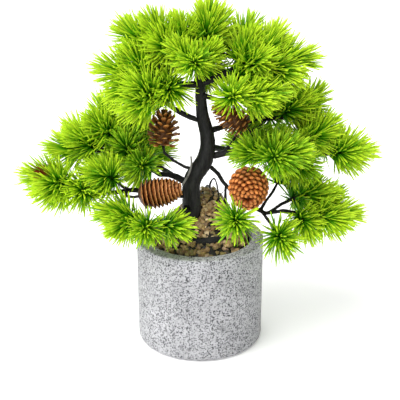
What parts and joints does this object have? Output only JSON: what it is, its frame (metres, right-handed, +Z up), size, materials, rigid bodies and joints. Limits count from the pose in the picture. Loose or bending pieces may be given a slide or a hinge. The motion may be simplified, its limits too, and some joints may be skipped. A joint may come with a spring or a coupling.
{
  "type": "artificial tabletop pine in a pot",
  "caption": "Artificial pine tree with bendable wire-cored branches, needle sprigs and pine cones, set in a gravel-topped speckled round pot",
  "frame": {"origin": "centre of the pot's underside", "axes": "+Z up along the pot's axis, +X to the tree's right as seen from its front, -Y towards its front"},
  "size_m": [0.305, 0.1841, 0.3016],
  "materials": {
    "speckled_stone": "matte cast stone with dark specks",
    "cup_plastic": "matte",
    "foam": "open cell",
    "gravel": "glued pebbles",
    "steel": "plain wire",
    "bark": "moulded bark grain",
    "root_plastic": "satin",
    "vine": "matte",
    "stalk": "satin",
    "cone_brown": "dry scales",
    "cone_golden": "dry scales",
    "needles": "satin moulded needles"
  },
  "bodies": {
    "root": {"crown_back_branch": "bark", "crown_back_right_branch": "bark", "crown_back_right_sprigs": "needles", "crown_back_sprigs": "needles", "crown_front_branch": "bark", "crown_front_sprigs": "needles", "crown_left_branch": "bark", "crown_left_sprigs": "needles", "crown_right_branch": "bark", "crown_right_sprigs": "needles", "crown_upper_left_branch": "bark", "crown_upper_left_sprigs": "needles", "foam_anchor": "foam", "golden_cone": "cone_golden", "golden_cone_stalk": "stalk", "gravel_bed": "gravel", "gravel_twig": "root_plastic", "leader_sprigs": "needles", "left_bough": "bark", "left_bough_sprigs": "needles", "loop_twig": "root_plastic", "pin_twig": "root_plastic", "planting_cup": "cup_plastic", "pot": "speckled_stone", "right_back_bough": "bark", "right_back_bough_sprigs": "needles", "right_front_bough": "bark", "right_front_bough_sprigs": "needles", "surface_root": "root_plastic", "trunk": "bark", "trunk_stake": "steel", "trunk_vine": "vine", "upright_cone": "cone_brown", "upright_cone_stalk": "bark"},
    "left_limb": {"left_limb": "bark", "left_limb_inner_sprigs": "needles", "left_limb_outer_sprigs": "needles", "low_cone": "cone_brown", "low_cone_stalk": "stalk"},
    "left_upper_limb": {"left_upper_limb": "bark", "left_upper_limb_inner_sprigs": "needles", "left_upper_limb_outer_sprigs": "needles"},
    "left_front_limb": {"left_front_limb": "bark", "left_front_limb_sprigs": "needles"},
    "right_limb": {"right_limb": "bark", "right_limb_inner_sprigs": "needles", "right_limb_outer_sprigs": "needles"},
    "right_low_limb": {"ball_cone": "cone_golden", "ball_cone_stalk": "stalk", "right_low_limb": "bark", "right_low_limb_inner_sprigs": "needles", "right_low_limb_outer_sprigs": "needles"},
    "back_left_limb": {"back_left_limb": "bark", "back_left_limb_sprigs": "needles"},
    "back_right_limb": {"back_right_limb": "bark", "back_right_limb_sprigs": "needles"}
  },
  "joints": [
    {"name": "left_limb_bend", "type": "hinge", "parent": "root", "child": "left_limb", "pos_m": [-0.015, 0, 0.1325], "axis": [-0.0797, 0.9968, 0], "range_deg": [-6, 6]},
    {"name": "left_upper_limb_bend", "type": "hinge", "parent": "root", "child": "left_upper_limb", "pos_m": [-0.0141, 0.0015, 0.1446], "axis": [-0.0387, 0.9992, 0], "range_deg": [-6, 6]},
    {"name": "left_front_limb_bend", "type": "hinge", "parent": "root", "child": "left_front_limb", "pos_m": [-0.0118, -0.0074, 0.1215], "axis": [-0.7474, 0.6644, 0], "range_deg": [-6, 6]},
    {"name": "right_limb_bend", "type": "hinge", "parent": "root", "child": "right_limb", "pos_m": [0.0124, 0, 0.1678], "axis": [-0.1406, -0.9901, 0], "range_deg": [-6, 6]},
    {"name": "right_low_limb_bend", "type": "hinge", "parent": "root", "child": "right_low_limb", "pos_m": [0.0098, 0.001, 0.1565], "axis": [0.0543, -0.9985, 0], "range_deg": [-6, 6]},
    {"name": "back_left_limb_bend", "type": "hinge", "parent": "root", "child": "back_left_limb", "pos_m": [-0.0105, 0.0063, 0.1405], "axis": [0.7269, 0.6867, 0], "range_deg": [-6, 6]},
    {"name": "back_right_limb_bend", "type": "hinge", "parent": "root", "child": "back_right_limb", "pos_m": [0.0096, 0.005, 0.1735], "axis": [0.7464, -0.6655, 0], "range_deg": [-6, 6]}
  ]
}
